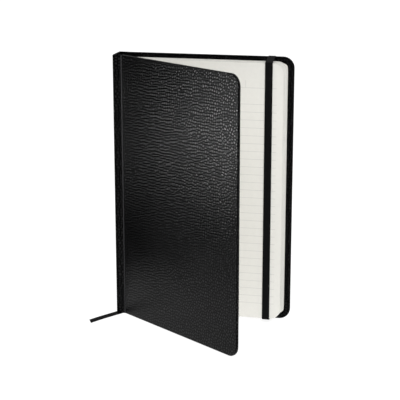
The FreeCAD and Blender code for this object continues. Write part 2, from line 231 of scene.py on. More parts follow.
def softened(points, rounds=3):
    """A polyline with its corners cut a few times, each cut a quarter of the way along."""
    line = np.asarray(points, float)
    for _ in range(rounds):
        low = line[:-1] * 0.75 + line[1:] * 0.25
        high = line[:-1] * 0.25 + line[1:] * 0.75
        inner = np.stack([low, high], axis=1).reshape(-1, line.shape[1])
        line = np.concatenate([line[:1], inner, line[-1:]])
    return line


def spaced(line, steps):
    """Points at even distances along a polyline."""
    length = np.concatenate([[0], np.cumsum(np.linalg.norm(np.diff(line, axis=0), axis=1))])
    at = np.linspace(0, length[-1], steps)
    return np.stack([np.interp(at, length, line[:, k]) for k in range(line.shape[1])], axis=-1)


# ---------------------------------------------------------------- materials


def linear(code):
    """An sRGB hex colour as linear red, green, blue and alpha."""
    parts = [int(code[i : i + 2], 16) / 255 for i in (1, 3, 5)]
    light = [c / 12.92 if c <= 0.04045 else ((c + 0.055) / 1.055) ** 2.4 for c in parts]
    return (*light, 1.0)


def add(tree, kind, values, **settings):
    """Adds one node with its settings; values are its inputs, each a number or a socket."""
    node = tree.nodes.new("ShaderNode" + kind)
    for key, value in settings.items():
        setattr(node, key, value)
    for key, value in values.items():
        if isinstance(value, bpy.types.NodeSocket):
            tree.links.new(value, node.inputs[key])
        else:
            node.inputs[key].default_value = value
    return node


def finish_named(name, **sockets):
    """A material with its shader, its node tree and a place to read Object coordinates."""
    material = bpy.data.materials.new(name)
    material.use_nodes = True
    tree = material.node_tree
    shader = tree.nodes["Principled BSDF"]
    for key, value in sockets.items():
        shader.inputs[key.replace("_", " ")].default_value = value
    place = add(tree, "TexCoord", {}).outputs["Object"]
    return material, tree, shader, place


# the real pebbles are about 1.7 mm across, too fine to show, so they are drawn coarser
PEBBLE_WIDE = 2.4
PEBBLE_RISE = 0.1
PORE_WIDE = 0.5
GLOSS_PATCH = 45
DOME_POLISH = -0.12


def leatherette_finish(name, tone, high, rough):
    """PVC leatherette, calendered and embossed: near black, with soft pebbles that break up
    the gloss and a duller, rougher skin in the valleys between them. The valleys are painted
    darker than the pebble tops, in base colour and in specular tint: painted shade. Handling
    has polished the tops unevenly, in patches a few centimetres wide."""
    material, tree, shader, place = finish_named(name, Roughness=rough, IOR=1.45)
    shader.inputs["Specular IOR Level"].default_value = 0.2
    flat = add(tree, "TexCoord", {}).outputs["UV"]
    pebbles = add(
        tree,
        "TexVoronoi",
        {"Vector": flat, "Scale": 1 / (PEBBLE_WIDE * MM), "Randomness": 0.85},
        feature="DISTANCE_TO_EDGE",
        voronoi_dimensions="2D",
    )
    pores = add(tree, "TexNoise", {"Vector": place, "Scale": 1 / (PORE_WIDE * MM), "Detail": 3.0})
    dome = add(
        tree,
        "MapRange",
        {"Value": pebbles.outputs["Distance"], 1: 0.02, 2: 0.45, 3: 0.0, 4: 1.0},
        interpolation_type="SMOOTHSTEP",
    )
    relief = add(
        tree,
        "Math",
        {0: pores.outputs["Fac"], 1: 0.06, 2: dome.outputs["Result"]},
        operation="MULTIPLY_ADD",
    )
    rise = {"Height": relief.outputs[0], "Distance": PEBBLE_RISE * MM, "Strength": 0.9}
    bump = add(tree, "Bump", rise)
    tree.links.new(bump.outputs["Normal"], shader.inputs["Normal"])
    cloud = add(tree, "TexNoise", {"Vector": place, "Scale": 1 / (GLOSS_PATCH * MM), "Detail": 2.0})
    gloss = add(
        tree,
        "MapRange",
        {"Value": cloud.outputs["Fac"], 1: 0.3, 2: 0.7, 3: rough + 0.04, 4: rough + 0.12},
    )
    dull = add(
        tree,
        "Math",
        {0: dome.outputs["Result"], 1: DOME_POLISH, 2: gloss.outputs["Result"]},
        operation="MULTIPLY_ADD",
    )
    tree.links.new(dull.outputs[0], shader.inputs["Roughness"])
    # painted shade: a valley sees only its own black walls and sends back little of the room's
    # light, so its specular tint is painted black
    shade = add(
        tree,
        "Mix",
        {"Factor": dome.outputs["Result"], "A": linear("#000000"), "B": linear("#FFFFFF")},
        data_type="RGBA",
    )
    tree.links.new(shade.outputs["Result"], shader.inputs["Specular Tint"])
    # painted shade: the base colour runs from tone in the valleys to high on the pebble tops
    skin = add(
        tree,
        "Mix",
        {"Factor": dome.outputs["Result"], "A": linear(tone), "B": linear(high)},
        data_type="RGBA",
    )
    tree.links.new(skin.outputs["Result"], shader.inputs["Base Color"])
    return material


def crease_highlight_finish():
    """The same leatherette hot-pressed into the joint, its grain ironed nearly flat. Its base
    colour is painted paler than the cover's: a painted highlight for the shine along the
    crease beside the pebbled cover."""
    material, tree, shader, place = finish_named("crease_leatherette_painted_highlight", Roughness=0.4)
    shader.inputs["Specular IOR Level"].default_value = 0.2
    stretch = add(tree, "Mapping", {"Vector": place, "Scale": (900, 900, 350)})
    streaks_and_highlight = add(tree, "TexNoise", {"Vector": stretch.outputs[0], "Scale": 1, "Detail": 3.0})
    # painted highlight: the crease's base colour is much paler than the cover's, in faint streaks
    colour = add(
        tree,
        "Mix",
        {"Factor": streaks_and_highlight.outputs["Fac"], "A": linear("#1A1A1C"), "B": linear("#2B2B2D")},
        data_type="RGBA",
    )
    tree.links.new(colour.outputs["Result"], shader.inputs["Base Color"])
    bump = add(
        tree, "Bump", {"Height": streaks_and_highlight.outputs["Fac"], "Distance": 0.05 * MM, "Strength": 0.5}
    )
    tree.links.new(bump.outputs["Normal"], shader.inputs["Normal"])
    return material


def paper_finish(name, tone, fibre, ruled=False, edges=0.0):
    """Uncoated book paper, made on a wire and cut: matt, warm and faintly mottled by its
    fibres. Where edges is given, the cut edges are painted darker than the faces, in fine
    streaks along the leaves: painted shade."""
    material, tree, shader, place = finish_named(name, Roughness=0.92, IOR=1.47)
    shader.inputs["Specular IOR Level"].default_value = 0.25
    mottle = add(tree, "TexNoise", {"Vector": place, "Scale": 1 / (3.5 * MM), "Detail": 5.0})
    colour = add(
        tree,
        "Mix",
        {"Factor": mottle.outputs["Fac"], "A": linear(tone), "B": linear(fibre)},
        data_type="RGBA",
    ).outputs["Result"]
    fibres = add(tree, "TexNoise", {"Vector": place, "Scale": 1 / (0.4 * MM), "Detail": 3.0})
    bump = add(
        tree, "Bump", {"Height": fibres.outputs["Fac"], "Distance": 0.02 * MM, "Strength": 0.5}
    )
    tree.links.new(bump.outputs["Normal"], shader.inputs["Normal"])
    facing = add(tree, "TexCoord", {}).outputs["Normal"]
    front = add(tree, "SeparateXYZ", {"Vector": facing}).outputs["Y"]
    flat = add(tree, "Math", {0: front}, operation="ABSOLUTE").outputs[0]
    on_face = add(tree, "Math", {0: flat, 1: 0.7}, operation="GREATER_THAN").outputs[0]
    if edges:
        # a leaf is 0.1 mm thick, drawn about four times as coarse so that it shows
        stretch = add(tree, "Mapping", {"Vector": place, "Scale": (60, 2400, 60)})
        leaves = add(tree, "TexNoise", {"Vector": stretch.outputs[0], "Scale": 1, "Detail": 2})
        # painted shade: faces that don't face front or back darken to between 1 - edges and 0.94 of
        # the paper's colour, in streaks along the leaves
        tint = add(
            tree,
            "MapRange",
            {"Value": leaves.outputs["Fac"], 1: 0.35, 2: 0.65, 3: 1 - edges, 4: 0.94},
        ).outputs[0]
        keep = add(tree, "Math", {0: tint, 1: on_face}, operation="MAXIMUM").outputs[0]
        shade = add(tree, "CombineColor", {0: keep, 1: keep, 2: keep})
        colour = add(
            tree,
            "Mix",
            {"Factor": 1.0, "A": colour, "B": shade.outputs[0]},
            data_type="RGBA",
            blend_type="MULTIPLY",
        ).outputs["Result"]
    if ruled:
        inked = rules(tree, place, on_face)
        colour = add(
            tree,
            "Mix",
            {"Factor": inked, "A": colour, "B": linear("#A9AAA8")},
            data_type="RGBA",
        ).outputs["Result"]
    tree.links.new(colour, shader.inputs["Base Color"])
    return material


RULE_HEAD = 194.0
RULE_FIRST = 181.0
RULE_LAST = 16.5
RULE_SPACES = 26
RULE_WIDE = 0.34
RULE_STOP = 56.8
TICK_X = 32.0
TICK_TALL = 6.0


def rules(tree, place, on_face):
    """How much ink there is: even lines across the page, one above them near the head, and
    a short upright stroke on that one. Printed offset, in grey, about 0.3 mm wide."""
    spread = add(tree, "SeparateXYZ", {"Vector": place})
    x = spread.outputs["X"]
    z = spread.outputs["Z"]
    pitch = (RULE_FIRST - RULE_LAST) / RULE_SPACES
    half = RULE_WIDE / 2 * MM

    def reckon(operation, first, second, third=0.0):
        values = {0: first, 1: second, 2: third}
        return add(tree, "Math", values, operation=operation).outputs[0]

    up = reckon("SUBTRACT", z, RULE_LAST * MM)
    near = reckon("PINGPONG", up, pitch / 2 * MM)
    line = reckon("LESS_THAN", near, half)
    line = reckon("MULTIPLY", line, reckon("GREATER_THAN", z, (RULE_LAST - 1) * MM))
    line = reckon("MULTIPLY", line, reckon("LESS_THAN", z, (RULE_FIRST + 1) * MM))
    head = reckon("COMPARE", z, RULE_HEAD * MM, half)
    tick = reckon("COMPARE", x, TICK_X * MM, half)
    middle = (RULE_HEAD + TICK_TALL / 2) * MM
    tick = reckon("MULTIPLY", tick, reckon("COMPARE", z, middle, TICK_TALL / 2 * MM))
    both = reckon("MAXIMUM", line, head)
    both = reckon("MULTIPLY", both, reckon("LESS_THAN", x, RULE_STOP * MM))
    both = reckon("MAXIMUM", both, tick)
    inked = reckon("MULTIPLY", both, on_face)
    return reckon("MULTIPLY", inked, 0.42)


def board_finish():
    """Grey binder's board, milled from waste paper: dull grey with darker flecks."""
    material, tree, shader, place = finish_named("grey_binders_board", Roughness=0.95)
    flecks = add(tree, "TexNoise", {"Vector": place, "Scale": 1 / (1.2 * MM), "Detail": 6.0})
    colour = add(
        tree,
        "Mix",
        {"Factor": flecks.outputs["Fac"], "A": linear("#6F6A63"), "B": linear("#9B958A")},
        data_type="RGBA",
    )
    tree.links.new(colour.outputs["Result"], shader.inputs["Base Color"])
    bump = add(
        tree, "Bump", {"Height": flecks.outputs["Fac"], "Distance": 0.1 * MM, "Strength": 0.6}
    )
    tree.links.new(bump.outputs["Normal"], shader.inputs["Normal"])
    return material


def kraft_finish():
    """Brown kraft paper, unbleached: long fibres run one way and make it streaky."""
    material, tree, shader, place = finish_named("kraft_paper_liner", Roughness=0.85)
    stretch = add(tree, "Mapping", {"Vector": place, "Scale": (900, 900, 90)})
    fibres = add(tree, "TexNoise", {"Vector": stretch.outputs[0], "Scale": 1, "Detail": 4})
    colour = add(
        tree,
        "Mix",
        {"Factor": fibres.outputs["Fac"], "A": linear("#8A6238"), "B": linear("#B98C58")},
        data_type="RGBA",
    )
    tree.links.new(colour.outputs["Result"], shader.inputs["Base Color"])
    return material


def woven_finish(name, dark, light, across_mm, along_mm, rough, depth_mm, sheen, gloss, axes):
    """A plain weave: two sets of threads as crossing ridges, each set spaced by its own
    distance. The colour is painted dark where the threads dive and light on their crowns:
    painted shade and painted highlight."""
    material, tree, shader, place = finish_named(name, Roughness=rough)
    shader.inputs["Specular IOR Level"].default_value = gloss
    shader.inputs["Sheen Weight"].default_value = sheen
    shader.inputs["Sheen Roughness"].default_value = 0.4
    if axes == "UV":
        place = add(tree, "TexCoord", {}).outputs["UV"]
        axes = "XY"
    spread = add(tree, "SeparateXYZ", {"Vector": place})
    ridges = []
    for axis, spacing in zip(axes, (across_mm, along_mm)):
        turn = add(
            tree,
            "Math",
            {0: spread.outputs[axis], 1: 2 * math.pi / (spacing * MM)},
            operation="MULTIPLY",
        )
        wave = add(tree, "Math", {0: turn.outputs[0]}, operation="SINE")
        ridges.append(add(tree, "Math", {0: wave.outputs[0]}, operation="ABSOLUTE").outputs[0])
    height = add(tree, "Math", {0: ridges[0], 1: ridges[1]}, operation="MULTIPLY").outputs[0]
    # painted shade where the threads dive, painted highlight on their crowns
    colour = add(
        tree,
        "Mix",
        {"Factor": height, "A": linear(dark), "B": linear(light)},
        data_type="RGBA",
    )
    tree.links.new(colour.outputs["Result"], shader.inputs["Base Color"])
    bump = add(tree, "Bump", {"Height": height, "Distance": depth_mm * MM, "Strength": 0.8})
    tree.links.new(bump.outputs["Normal"], shader.inputs["Normal"])
    return material


# the valleys black and the pebble tops #101011: painted shade in the valleys
LEATHERETTE = leatherette_finish("black_pvc_leatherette", "#000000", "#101011", 0.26)
PAINTED_HIGHLIGHT_CREASE = crease_highlight_finish()
# edges sets how dark the painted shade on the cut edges goes
PAGE_PAPER = paper_finish("ruled_book_paper", "#E9E8E3", "#E1E0DB", ruled=True, edges=0.26)
ENDPAPER = paper_finish("plain_endpaper", "#E9E6DE", "#E0DED6")
BOARD = board_finish()
KRAFT = kraft_finish()
# cotton gauze with threads about 1 mm apart, stiffened with paste
MULL = woven_finish(
    "cotton_mull_gauze", "#B9AF9B", "#E9E2D2", 1.1, 1.1, 0.95, 0.1, 0.2, 0.3, "YZ"
)
# mercerised cotton band, its fine threads wrapped round the bead
BAND = woven_finish(
    "cotton_band_cloth", "#CFCBC0", "#F4F2EA", 0.7, 5.0, 0.8, 0.08, 0.3, 0.3, "YZ"
)
# waxed linen thread, twisted, a little glossy
THREAD = woven_finish(
    "waxed_linen_thread", "#CFC6AE", "#F0E9D6", 0.3, 0.3, 0.6, 0.05, 0.1, 0.5, "YZ"
)
# polyester satin ribbon: close threads, a soft shine along them
RIBBON = woven_finish(
    "polyester_satin_ribbon", "#030304", "#070708", 0.35, 0.8, 0.5, 0.03, 0.0, 0.06, "UV"
)
# braided elastic: rubber cores under black polyester, ribs 1 mm apart along the strap
ELASTIC = woven_finish(
    "braided_black_elastic", "#050506", "#0D0D0E", 1.0, 1.4, 0.7, 0.12, 0.02, 0.08, "XZ"
)


# ---------------------------------------------------------------- the ribbon's loose tail

RIBBON_WIDE = 7.0
RIBBON_HALF = 0.1
# the same points as the CAD route, from the foot of the pages to the table
TAIL_ROUTE = (
    (-0.0674, -0.00785, 0.0028),
    (-0.0702, -0.01115, 0.00024),
    (-0.0744, -0.01695, 0.00011),
    (-0.0804, -0.02585, 0.00011),
    (-0.0868, -0.03485, 0.00011),
    (-0.0922, -0.04405, 0.00011),
)
# how much shorter one long edge is than the other, because the tip is cut on the slant
TAIL_SLANT = 4.5


def spline_points(name, route):
    """The smooth line through a NURBS spline of the route's points, in metres."""
    curve = bpy.data.curves.new(name, "CURVE")
    curve.dimensions = "3D"
    curve.resolution_u = 24
    spline = curve.splines.new("NURBS")
    spline.points.add(len(route) - 1)
    weighted = np.concatenate([np.array(route), np.ones((len(route), 1))], axis=1)
    spline.points.foreach_set("co", weighted.ravel())
    spline.order_u = 3
    spline.use_endpoint_u = True
    holder = bpy.data.objects.new(name, curve)
    bpy.context.collection.objects.link(holder)
    line = bpy.data.meshes.new_from_object(holder)
    points = np.zeros(len(line.vertices) * 3)
    line.vertices.foreach_get("co", points)
    bpy.data.objects.remove(holder)
    bpy.data.meshes.remove(line)
    return points.reshape(-1, 3)


def ribbon_tail():
    """A flat strip along the spline: its width lies level, its long edges are thinned like
    a selvedge and lifted a little in slow waves, low enough for the cover to swing over, and
    its tip is cut on the slant."""
    path = spline_points("tail_line", TAIL_ROUTE)
    line = path / MM
    length = np.concatenate([[0], np.cumsum(np.linalg.norm(np.diff(line, axis=0), axis=1))])
    across = np.linspace(-1, 1, 13)[None, :]
    share = np.linspace(0, 1, 90)[:, None]
    along = share * (length[-1] - TAIL_SLANT * (1 + across) / 2)
    middle = np.stack([np.interp(along, length, line[:, k]) for k in range(3)], axis=-1)
    ahead = np.stack([np.interp(along + 0.4, length, line[:, k]) for k in range(3)], axis=-1)
    behind = np.stack([np.interp(along - 0.4, length, line[:, k]) for k in range(3)], axis=-1)
    run = ahead - behind
    side = np.stack([run[..., 1], -run[..., 0], 0 * run[..., 0]], axis=-1)
    side /= np.linalg.norm(side, axis=-1, keepdims=True)
    middle = middle + side * across[..., None] * RIBBON_WIDE / 2
    lying = smoothstep((along - 11) / 8)
    wave = 0.05 * (1 - np.cos(along / 6.5)) * across**2 + 0.03 * share**6 * (1 - across)
    middle[..., 2] += lying * wave
    normal = np.zeros_like(middle)
    normal[..., 2] = 1
    edge = RIBBON_WIDE / 2 * (1 - np.abs(across)) + 0 * along
    half = RIBBON_HALF * rounding(edge, 0.25, 0.3)[..., None]
    grid = np.stack([across * RIBBON_WIDE / 2 + 0 * along, along + 0 * across], axis=-1)
    uv = np.concatenate([grid.reshape(-1, 2)] * 2) * MM
    return slab(middle, normal, half), uv, path


tail_part, tail_uv, tail_path = ribbon_tail()
tail = piece(
    "ribbon_tail",
    [tail_part],
    RIBBON,
    body="book",
    replaces=["marker_ribbon_tail"],
    uv=tail_uv,
)


# ---------------------------------------------------------------- the covers

EDGE_ROUND = 0.75
JOINT_ROUND = 0.8
SKIN = 0.35
FACE_INSETS = (62, 54, 46, 38, 31, 25, 20, 16, 12.5, 9.5, 7, 5, 3.6, 2.6, 1.8, 1.2)


def wrapped_board(box, bow, pleats, dent=None):
    """A covered board as rings from the middle of its outer face to the middle of its inner
    face. Each ring is the cover's outline drawn in by an inset at a depth y: level over the
    outer face, a quarter circle round each edge, level over the turn-in, and a step down
    at the turn-in's end. The outer face swells by a bow, the product of two parabolas, and
    the turn-in has small radial folds at the round corners."""
    x0, x1, z0, z1 = box
    turn = np.linspace(0, math.pi / 2, 6)[:-1]
    rows = [(i, 0.0) for i in FACE_INSETS]
    rows += [(EDGE_ROUND * (1 - math.sin(t)), EDGE_ROUND * (1 - math.cos(t))) for t in turn]
    rows += [(0.0, EDGE_ROUND), (0.0, COVER_THICK - EDGE_ROUND)]
    rows += [
        (EDGE_ROUND * (1 - math.cos(t)), COVER_THICK - EDGE_ROUND * (1 - math.sin(t)))
        for t in turn[1:]
    ]
    rows += [(i, COVER_THICK) for i in (EDGE_ROUND, 1.4, 2.2, 3.2, 6, 10, TURN_IN - 0.2)]
    rows += [(TURN_IN, COVER_THICK - SKIN), (30, COVER_THICK - SKIN), (60, COVER_THICK - SKIN)]
    rings = []
    for inset, depth in rows:
        flat, fold = outline(box, JOINT_ROUND, CORNER_ROUND, inset)
        x, z = flat[:, 0], flat[:, 1]
        inward = smoothstep(depth / COVER_THICK * 2 - 0.6)
        across = 2 * (x - x0) / (x1 - x0) - 1
        upward = 2 * (z - z0) / (z1 - z0) - 1
        swell = (1 - across**2) * (1 - upward**2)
        y = depth - bow * swell * (1 - inward)
        wrinkle = np.abs(np.sin(np.arcsin(np.clip(fold, 0, 1)) * 7)) * (fold > 0)
        on_turn_in = math.exp(-(((inset - 2.2) / 1.6) ** 2)) * (depth > COVER_THICK - 0.2)
        y = y + pleats * wrinkle * on_turn_in
        if dent:
            low, high, deep = dent
            in_dent = smoothstep((x - low) / 1.2 + 1) * smoothstep((high - x) / 1.2 + 1)
            z = np.maximum(z, z0 + deep * in_dent * (z < z0 + 3))
        rings.append(np.stack([x, y + 0 * x, z], axis=-1))
    return np.array(rings)


def unrolled(rings):
    """Where each ring's points come on the flat sheet, in metres: across and up the cover,
    moved on by the depth so that the edges aren't stretched."""
    x, y, z = np.moveaxis(rings.reshape(-1, 3), -1, 0)
    return np.stack([x + y, z + 0.4 * y], axis=-1) * MM


back_rings = wrapped_board(
    (BACK_LOW[0], BACK_HIGH[0], BACK_LOW[2], BACK_HIGH[2]),
    bow=0.15,
    pleats=0.06,
    dent=(STRAP_LOW[0], STRAP_HIGH[0], 0.75),
)
back_rings[..., 1] = BACK_HIGH[1] - back_rings[..., 1]
piece(
    "back_cover",
    [loft(back_rings)],
    LEATHERETTE,
    body="book",
    replaces=["back_cover_leatherette"],
    uv=unrolled(back_rings),
)

FOOT_ROOM = SPINE_LOW[2]
FRONT_START = 0.3
front_box = (FRONT_START, COVER_WIDE, FOOT_ROOM, COVER_TALL)
front_rings = wrapped_board(front_box, bow=0.6, pleats=0.06)
front_rings[..., 1] += HINGE_STAND
piece(
    "front_cover",
    [loft(opened(front_rings))],
    LEATHERETTE,
    body="front_cover",
    replaces=["front_cover_leatherette"],
    uv=unrolled(front_rings),
)


# ---------------------------------------------------------------- the spine and its joint

# covering, card and turn-in together at the back of the spine
SPINE_WALL = 1.7
# the covering folded double at each side of the spine
FLANGE = 0.7
# how far from head and foot the spine's edge starts to round off
RIM = 0.9


def along_heights(low, high, count=30, rim=RIM):
    """Heights from foot to head, close together over each rounded rim."""
    turn = 1 - np.cos(np.linspace(0, math.pi / 2, 6))
    edge = rim * turn
    straight = np.linspace(low + rim, high - rim, count)[1:-1]
    return np.concatenate([low + edge, straight, high - edge[::-1]])


def spine_outline(wall, flange, corner):
    """A U seen from above, set in from the spine's box by one depth at the back and another
    at the flanges, with its two corners softened over a given distance."""
    x = SPINE_LOW[0] + wall
    front = SPINE_LOW[1] + flange
    back = SPINE_HIGH[1] - flange
    corners = [
        (SPINE_HIGH[0], front),
        (x + corner, front),
        (x, front),
        (x, front + corner),
        (x, (front + back) / 2),
        (x, back - corner),
        (x, back),
        (x + corner, back),
        (SPINE_HIGH[0], back),
    ]
    return softened(corners)


def spine_wrap():
    """The covering round the spine: the space between an outer and an inner U, thin in the
    flanges and thick over the card, closed in a quarter round at head and foot."""
    outer = spine_outline(0, 0, 2.0)
    inner = spine_outline(SPINE_WALL, FLANGE, 1.0)
    line = (outer + inner) / 2
    heights = along_heights(SPINE_LOW[2], SPINE_HIGH[2])
    middle = np.zeros((len(heights), len(line), 3))
    middle[..., :2] = line
    middle[..., 2] = heights[:, None]
    outward = np.zeros_like(middle)
    outward[..., :2] = (outer - inner) / 2
    to_end = np.minimum(heights - SPINE_LOW[2], SPINE_HIGH[2] - heights)
    share = rounding(to_end, RIM)[:, None] * np.ones(len(line))[None, :]
    around = np.concatenate([[0], np.cumsum(np.linalg.norm(np.diff(line, axis=0), axis=1))])
    sheet = np.stack(np.broadcast_arrays(around[None, :], heights[:, None]), axis=-1)
    uv = np.concatenate([sheet.reshape(-1, 2)] * 2) * MM
    return slab(middle, outward, share[..., None]), uv


spine_part, spine_uv = spine_wrap()
piece(
    "spine_wrap",
    [spine_part],
    LEATHERETTE,
    body="book",
    replaces=["spine_leatherette"],
    uv=spine_uv,
)


CREASE_BEND = 0.7
CREASE_STAND = 0.03


def joint_crease(face, side, turn, start, reach=1.05, half=0.17):
    """The covering over a joint: a strip beside one face of the spine (side is -1 at the
    front, 1 at the back) whose direction turns smoothly from the spine's to the cover's
    within a bend either side of its middle, so that it lies in a shallow valley."""
    along = np.linspace(-reach, reach, 41)
    way = turn * smoothstep((along + CREASE_BEND) / (2 * CREASE_BEND))
    step = along[1] - along[0]
    x = np.cumsum(np.cos(way)) * step
    y = side * np.cumsum(np.sin(way)) * step
    x += start - x[0]
    y += face + side * CREASE_STAND - y[0]
    heights = along_heights(SPINE_LOW[2] + 0.05, SPINE_HIGH[2] - 0.05, rim=0.5)
    middle = np.zeros((len(heights), len(along), 3))
    middle[..., 0] = x
    middle[..., 1] = y
    middle[..., 2] = heights[:, None]
    normal = np.zeros_like(middle)
    normal[..., 0] = -np.sin(way)
    normal[..., 1] = side * np.cos(way)
    thin = rounding(reach - np.abs(along), 0.5, 0.1)
    to_end = np.minimum(heights - heights[0], heights[-1] - heights)
    share = thin[None, :] * rounding(to_end, 0.5, 0.1)[:, None]
    return slab(middle, normal, half * share[..., None])


front_strip = joint_crease(SPINE_LOW[1], -1, OPEN, HINGE[0] - 0.05)
crease = piece("joint_crease", [front_strip], PAINTED_HIGHLIGHT_CREASE)
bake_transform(crease)
back_strip = joint_crease(SPINE_HIGH[1], 1, 0.0, HINGE[0] - 1.0)
piece("back_joint_crease", [back_strip], PAINTED_HIGHLIGHT_CREASE, body="book")


# ---------------------------------------------------------------- the block of pages

PAGE_ROUND = 8.0
LEAVES = 8
BLOCK_BACK = millimetres("signature_1")[1][1]
BLOCK_DEEP = BLOCK_BACK - millimetres("signature_8")[0][1]
# the leaves nearer the open cover lie a little further in at the fore edge
FORE_BEVEL = 1.5
FOLD_ROUND = 0.7
# the share of its pitch that a leaf fills; the rest is air
LEAF_SHARE = 0.88


def plate(box, y0, y1, left_round, right_round):
    """A flat leaf between two depths, with an outline of straight sides and quarter arcs."""
    flat, _ = outline(box, left_round, right_round, 0, side_steps=3, arc_steps=8)
    rings = np.zeros((2, len(flat), 3))
    rings[..., 0] = flat[:, 0]
    rings[..., 2] = flat[:, 1]
    rings[0, :, 1] = y0
    rings[1, :, 1] = y1
    return loft(rings)


def signature_leaves(node, chance):
    """A sewn section as separate leaves a hair apart. Each leaf's three cut edges stray by
    up to a tenth of a millimetre, and the folds make the back of the section round."""
    low, high = millimetres(node)
    pitch = (high[1] - low[1]) / LEAVES
    parts = []
    for leaf in range(LEAVES):
        stray = chance.uniform(-0.1, 0.02, 3)
        stray[0] -= FORE_BEVEL * (BLOCK_BACK - low[1] - pitch * leaf) / BLOCK_DEEP
        middle = (leaf + 0.5 - LEAVES / 2) / (LEAVES / 2)
        fold = FOLD_ROUND * (1 - math.sqrt(1 - middle**2))
        box = (low[0] + fold, high[0] + stray[0], low[2] - stray[1], high[2] + stray[2])
        y0 = low[1] + pitch * leaf
        parts.append(plate(box, y0, y0 + pitch * LEAF_SHARE, 0.3, PAGE_ROUND))
    return parts


chance = np.random.default_rng(12)
for count in range(1, 9):
    node = f"signature_{count}"
    piece(
        f"leaves_{count}",
        signature_leaves(node, chance),
        PAGE_PAPER,
        body="book",
        replaces=[node],
        smooth=False,
    )


def endpaper_fold():
    """The paper between the block and the front flyleaf: a strip that leaves the block's
    face, rounds the gutter and meets the flyleaf, as a curve carried up the book."""
    block_front = millimetres("signature_8")[0][1]
    leaf_at = opened(np.array([[3.0, 2.95, 0.0], [5.5, 2.95, 0.0]]), LEAF_OPEN)[:, :2]
    corners = [
        (HINGE[0] - 3.4, block_front - 0.06),
        (HINGE[0] - 0.8, block_front - 0.1),
        (HINGE[0] + 1.6, block_front - 0.9),
        tuple(leaf_at[0]),
        tuple(leaf_at[1]),
    ]
    line = spaced(softened(corners), 26)
    run = np.gradient(line, axis=0)
    run /= np.linalg.norm(run, axis=1, keepdims=True)
    low, high = millimetres("front_flyleaf")
    heights = np.linspace(low[2], high[2], 8)
    middle = np.zeros((len(heights), len(line), 3))
    middle[..., :2] = line
    middle[..., 2] = heights[:, None]
    normal = np.zeros_like(middle)
    normal[..., 0] = run[:, 1]
    normal[..., 1] = -run[:, 0]
    return slab(middle, normal, np.full((len(heights), len(line), 1), 0.05)), leaf_at


# the strip runs from the block's side of the hinge to where it meets the flyleaf
fold_part, leaf_at = endpaper_fold()
fold = piece("endpaper_fold", [fold_part], ENDPAPER)
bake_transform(fold)


WRAPS = 18
BEAD_RADIUS = 0.55
TAPE_HALF = 0.15


def band(node, at_head):
    """A head or tail band: a bead of wrapped cord whose radius ripples with each turn of
    the thread, on a tape pasted down the back of the block."""
    low, high = millimetres(node)
    turns = np.linspace(0, 1, 121)
    y = low[1] + (high[1] - low[1]) * turns
    ripple = 1 - 0.13 * np.abs(np.cos(turns * math.pi * WRAPS))
    ends = rounding(np.minimum(y - low[1], high[1] - y), 0.4, 0.15)
    radius = (BEAD_RADIUS * ripple * ends)[:, None]
    angle = np.linspace(0, 2 * math.pi, 14, endpoint=False)[None, :]
    centre_x = high[0] - BEAD_RADIUS
    centre_z = high[2] - BEAD_RADIUS if at_head else low[2] + BEAD_RADIUS
    ring_x = centre_x + radius * np.cos(angle)
    ring_z = centre_z + radius * np.sin(angle)
    rings = np.stack([ring_x, y[:, None] + 0 * angle, ring_z], axis=-1)
    tape_low = low[2] if at_head else centre_z
    tape_high = centre_z if at_head else high[2]
    tape = np.zeros((2, 8, 3))
    tape[..., 0] = low[0] + TAPE_HALF
    tape[..., 1] = np.linspace(low[1], high[1], 8)
    tape[..., 2] = np.array([tape_low, tape_high])[:, None]
    outward = np.zeros_like(tape)
    outward[..., 0] = 1
    return [loft(rings), slab(tape, outward, np.full((2, 8, 1), TAPE_HALF))]


for name, at_head in (("headband", True), ("tailband", False)):
    piece(
        name + "_bead",
        band(name, at_head),
        BAND,
        body="book",
        replaces=[name],
    )


# ---------------------------------------------------------------- the ribbon in the block


RIBBON_HEAD_X = -63.9
HELD_HALF = 0.09


def held_ribbon():
    """The marker between the pages, a slanting flat strip, and the stretch that comes out
    of the spine, arches over the head of the block and dives between the leaves."""
    low, high = millimetres("marker_ribbon")
    # the strip starts where the loose tail does
    foot_x = TAIL_ROUTE[0][0] / MM
    y = TAIL_ROUTE[0][1] / MM
    share = np.linspace(0, 1, 30)[:, None]
    across = np.linspace(-1, 1, 9)[None, :]
    strip = np.zeros((30, 9, 3))
    strip[..., 0] = foot_x + (RIBBON_HEAD_X - foot_x) * share + across * RIBBON_WIDE / 2
    strip[..., 1] = y
    strip[..., 2] = low[2] + (high[2] - 0.3 - low[2]) * share
    forward = np.zeros_like(strip)
    forward[..., 1] = 1
    edge = RIBBON_WIDE / 2 * (1 - np.abs(across)) + 0 * share
    half = HELD_HALF * rounding(edge, 0.25, 0.3)[..., None]
    path = [
        (low[0] + 0.1, high[2] - 0.1),
        (low[0] + 3.0, high[2] + 0.1),
        (low[0] + 6.0, high[2] + 0.5),
        (high[0] - 2.5, high[2] + 0.35),
        (high[0] - 0.2, high[2] - 0.05),
    ]
    line = spaced(softened(path), 30)
    arch = np.zeros((30, 9, 3))
    arch[..., 0] = line[:, :1]
    # gathered where it comes out of the spine, spread where it turns down into the pages
    spread = smoothstep(share * 3 - 1.4)
    arch[..., 1] = y + 2.6 * spread + across * (0.35 + 0.65 * spread) * RIBBON_WIDE / 2
    arch[..., 2] = line[:, 1:]
    upward = np.zeros_like(arch)
    upward[..., 2] = 1
    grid = np.stack([across * RIBBON_WIDE / 2 + 0 * share, 60 * share + 0 * across], axis=-1)
    uv = np.concatenate([grid.reshape(-1, 2)] * 4) * MM
    return [slab(strip, forward, half), slab(arch, upward, half)], uv


ribbon_parts, ribbon_uv = held_ribbon()
piece(
    "ribbon_in_block",
    ribbon_parts,
    RIBBON,
    body="book",
    replaces=["marker_ribbon"],
    uv=ribbon_uv,
)


# ---------------------------------------------------------------- the elastic

ELASTIC_HALF = 0.3


